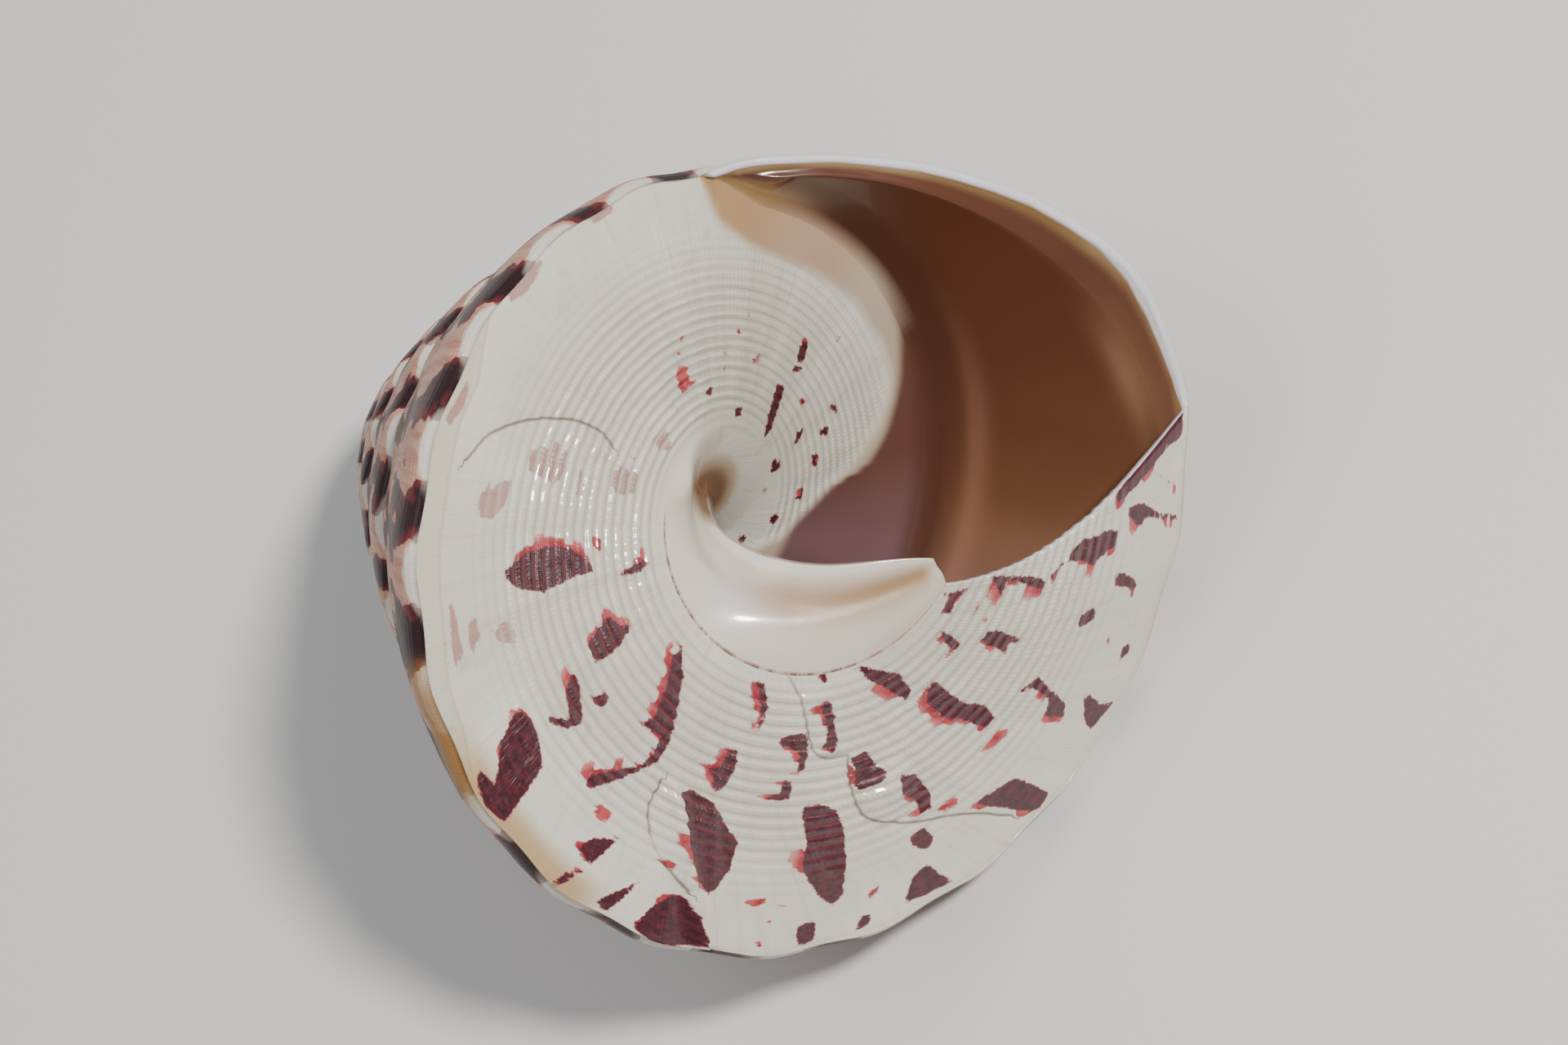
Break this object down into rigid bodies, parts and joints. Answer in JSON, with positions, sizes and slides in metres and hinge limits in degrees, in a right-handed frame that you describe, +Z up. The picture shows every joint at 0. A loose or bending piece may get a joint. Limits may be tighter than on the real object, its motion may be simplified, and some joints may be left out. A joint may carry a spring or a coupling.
{
  "type": "top shell",
  "caption": "Conical sea snail shell lying on its spire, with an oblique open aperture, twisted columella, small funnel and low-domed corded base.",
  "frame": {"origin": "centre of the bounding box on the plane the shell rests on", "axes": "+Z up; the shell lies on the flank of its spire, with the apex toward +Y, down and a little toward -X, and the base and the mouth facing -Y and up; +Y is the longest extent"},
  "size_m": [0.0568, 0.0614, 0.0468],
  "materials": {
    "shell": "polished, ivory with maroon markings"
  },
  "bodies": {
    "root": {"shell": "shell"}
  },
  "joints": []
}
